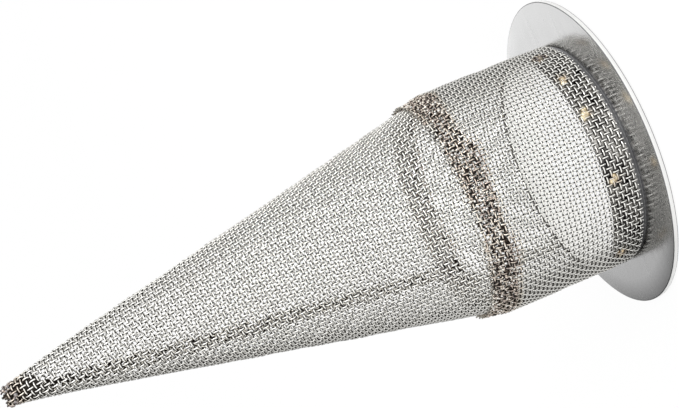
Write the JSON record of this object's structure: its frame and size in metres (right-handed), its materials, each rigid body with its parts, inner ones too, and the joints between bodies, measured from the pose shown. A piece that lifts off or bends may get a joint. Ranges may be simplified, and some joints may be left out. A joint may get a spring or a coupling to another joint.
{
  "type": "conical basket strainer",
  "caption": "Welded conical basket strainer: flat flange ring, short collar, cylindrical wire-screen skirt and a long wire-screen cone closed at its tip.",
  "frame": {"origin": "centre of the flange ring's gasket face, where the strainer stands", "axes": "+Z along the strainer's axis from the flange to the closed tip; the lap seams lie at azimuth 132 degrees (skirt) and 123 degrees (cone) from +X towards +Y"},
  "size_m": [0.08, 0.08, 0.154],
  "materials": {
    "flange_steel": "satin rolled stainless sheet with a bright cut rim",
    "collar_steel": "rolled stainless strip, lightly stained by welding",
    "wire_cloth": "bright drawn stainless wire",
    "lap_cloth": "doubled wire cloth, fused along the seam",
    "weld_steel": "unpolished weld metal with brown heat tint",
    "spot_steel": "spot weld with straw heat tint"
  },
  "bodies": {
    "root": {"flange_ring": "flange_steel", "collar_sleeve": "collar_steel", "collar_weld": "weld_steel", "skirt_screen": "wire_cloth", "skirt_lap_seam": "lap_cloth", "cone_screen": "wire_cloth", "cone_lap_seam": "lap_cloth", "tip_weld": "weld_steel", "collar_spot_weld_01": "spot_steel", "collar_spot_weld_02": "spot_steel", "collar_spot_weld_03": "spot_steel", "collar_spot_weld_04": "spot_steel", "collar_spot_weld_05": "spot_steel", "collar_spot_weld_06": "spot_steel", "collar_spot_weld_07": "spot_steel", "collar_spot_weld_08": "spot_steel", "collar_spot_weld_09": "spot_steel", "collar_spot_weld_10": "spot_steel", "collar_spot_weld_11": "spot_steel", "collar_spot_weld_12": "spot_steel", "collar_spot_weld_13": "spot_steel", "collar_spot_weld_14": "spot_steel"}
  },
  "joints": []
}
